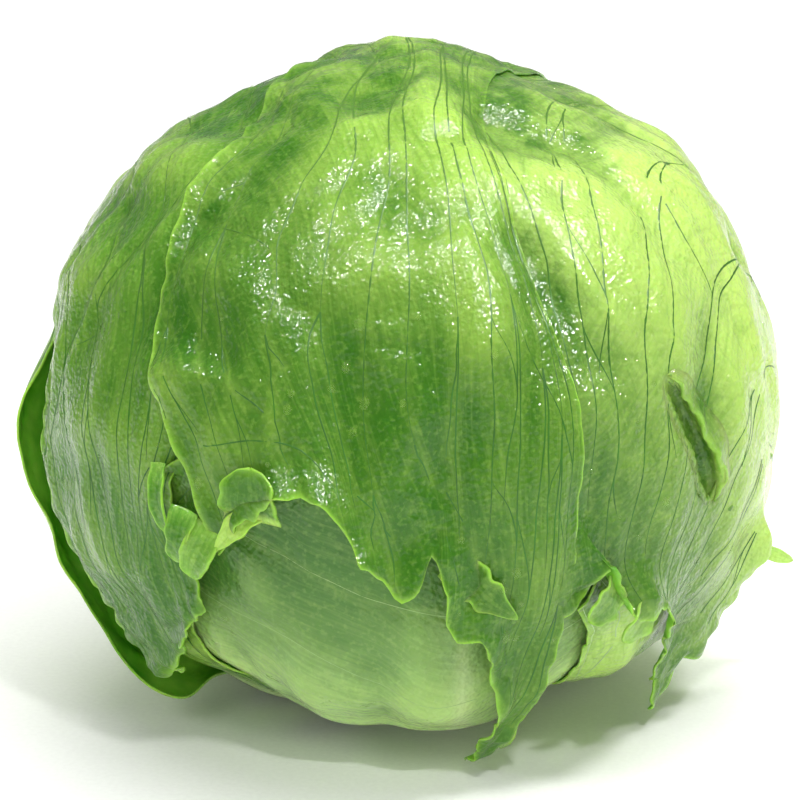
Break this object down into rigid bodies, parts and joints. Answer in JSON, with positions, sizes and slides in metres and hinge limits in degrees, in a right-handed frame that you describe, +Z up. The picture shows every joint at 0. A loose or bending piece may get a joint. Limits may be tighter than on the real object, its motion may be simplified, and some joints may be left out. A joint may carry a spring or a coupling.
{
  "type": "iceberg lettuce",
  "caption": "Round head of crisp iceberg lettuce with overlapping green wrapper leaves, torn waved edges, a pale ribbed leaf low at the front and a flat cut stem to stand on.",
  "frame": {"origin": "centre of the level cut across the foot of the stem", "axes": "+Z up through the crown of the head, -Y towards the side seen in the picture, where the pale ribbed leaf shows, +X to the right as seen from there"},
  "size_m": [0.158, 0.1575, 0.1389],
  "materials": {
    "cut_stem": "damp cut stem tissue, cream with a browned rim",
    "heart": "pale crisp inner leaves, damp",
    "front_leaf": "pale green inner face of a leaf with a white midrib",
    "tucked_leaf": "wet green leaf",
    "right_low_leaf": "wet light green leaf",
    "left_outer_leaf": "wet dark green leaf with a yellow-green edge",
    "left_leaf": "wet green leaf",
    "right_leaf": "wet yellow-green leaf",
    "crown_leaf": "wet green leaf"
  },
  "bodies": {
    "root": {"cut_stem": "cut_stem", "heart": "heart", "front_leaf": "front_leaf", "tucked_leaf": "tucked_leaf", "right_low_leaf": "right_low_leaf", "left_outer_leaf": "left_outer_leaf", "left_leaf": "left_leaf", "right_leaf": "right_leaf", "crown_leaf": "crown_leaf"}
  },
  "joints": []
}
